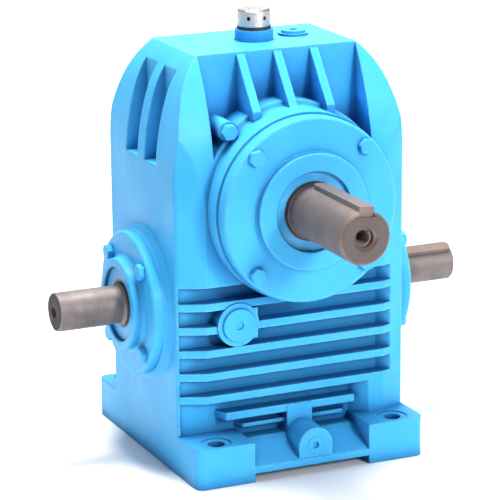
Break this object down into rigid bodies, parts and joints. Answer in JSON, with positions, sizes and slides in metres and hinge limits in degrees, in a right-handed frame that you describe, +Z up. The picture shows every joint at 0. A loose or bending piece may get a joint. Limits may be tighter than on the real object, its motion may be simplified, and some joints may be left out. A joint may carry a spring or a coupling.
{
  "type": "worm gearbox",
  "caption": "Foot-mounted worm gearbox with a through worm shaft low across a finned cast housing and a keyed output shaft from the front cover.",
  "frame": {"origin": "centre of the four foundation holes on the foot plane, below the point where the shaft axes cross in plan", "axes": "+Z up, worm shaft along X, output shaft towards -Y"},
  "size_m": [0.4, 0.354, 0.4065],
  "materials": {
    "housing_paint": "gloss enamel over cast iron",
    "painted_fitting": "gloss enamel over steel",
    "shaft_steel": "ground, lightly oiled",
    "key_steel": "cold drawn",
    "bearing_steel": "polished",
    "cage_brass": "machined",
    "bronze": "machined phosphor bronze",
    "cast_iron": "as cast",
    "gasket": "gasket paper edge under paint",
    "seal_rubber": "nitrile",
    "zinc": "bright zinc plate",
    "copper_washer": "copper, painted over"
  },
  "bodies": {
    "gear_case": {"breather_cap": "zinc", "breather_stem": "zinc", "breather_washer": "seal_rubber", "drain_plug": "painted_fitting", "filler_plug": "painted_fitting", "housing": "housing_paint", "level_plug": "painted_fitting", "level_plug_washer": "copper_washer", "output_bearing_outer_front": "bearing_steel", "output_bearing_outer_rear": "bearing_steel", "output_cover": "housing_paint", "output_cover_bolts": "painted_fitting", "output_gasket": "gasket", "output_seal": "seal_rubber", "rear_cover": "housing_paint", "rear_cover_bolts": "painted_fitting", "rear_gasket": "gasket", "upper_plug": "painted_fitting", "worm_bearing_outer_left": "bearing_steel", "worm_bearing_outer_right": "bearing_steel", "worm_cover_bolts_left": "painted_fitting", "worm_cover_bolts_right": "painted_fitting", "worm_cover_left": "housing_paint", "worm_cover_right": "housing_paint", "worm_seal_left": "seal_rubber", "worm_seal_right": "seal_rubber", "worm_shims_left": "gasket", "worm_shims_right": "gasket"},
    "output_shaft": {"output_shaft": "shaft_steel", "output_key": "key_steel", "wheel_key": "key_steel", "wheel_hub": "cast_iron", "wheel_rim": "bronze", "rim_screws": "key_steel", "wheel_spacer": "key_steel", "output_bearing_inner_front": "bearing_steel", "output_bearing_inner_rear": "bearing_steel"},
    "worm_shaft": {"worm_shaft": "shaft_steel", "worm_key_left": "key_steel", "worm_key_right": "key_steel", "worm_bearing_inner_left": "bearing_steel", "worm_bearing_inner_right": "bearing_steel"},
    "output_cage_front": {"output_bearing_balls_front": "bearing_steel", "output_bearing_cage_front": "cage_brass"},
    "output_cage_rear": {"output_bearing_balls_rear": "bearing_steel", "output_bearing_cage_rear": "cage_brass"},
    "worm_cage_left": {"worm_bearing_rollers_left": "bearing_steel", "worm_bearing_cage_left": "cage_brass"},
    "worm_cage_right": {"worm_bearing_rollers_right": "bearing_steel", "worm_bearing_cage_right": "cage_brass"}
  },
  "joints": [
    {"name": "output_spin", "type": "hinge", "parent": "gear_case", "child": "output_shaft", "pos_m": [0, 0, 0.245], "axis": [0, 1, 0], "continuous": true},
    {"name": "worm_spin", "type": "hinge", "parent": "gear_case", "child": "worm_shaft", "pos_m": [0, 0, 0.145], "axis": [1, 0, 0], "continuous": true},
    {"name": "output_cage_front_spin", "type": "hinge", "parent": "gear_case", "child": "output_cage_front", "pos_m": [0, 0, 0.245], "axis": [0, 1, 0], "continuous": true},
    {"name": "output_cage_rear_spin", "type": "hinge", "parent": "gear_case", "child": "output_cage_rear", "pos_m": [0, 0, 0.245], "axis": [0, 1, 0], "continuous": true},
    {"name": "worm_cage_left_spin", "type": "hinge", "parent": "gear_case", "child": "worm_cage_left", "pos_m": [0, 0, 0.145], "axis": [1, 0, 0], "continuous": true},
    {"name": "worm_cage_right_spin", "type": "hinge", "parent": "gear_case", "child": "worm_cage_right", "pos_m": [0, 0, 0.145], "axis": [1, 0, 0], "continuous": true}
  ],
  "couplings": [
    {"joint": "worm_spin", "follows": "output_spin", "ratio": 30},
    {"joint": "output_cage_front_spin", "follows": "output_spin", "ratio": 0.4107},
    {"joint": "output_cage_rear_spin", "follows": "output_spin", "ratio": 0.4107},
    {"joint": "worm_cage_left_spin", "follows": "output_spin", "ratio": 12.98},
    {"joint": "worm_cage_right_spin", "follows": "output_spin", "ratio": 12.98}
  ]
}
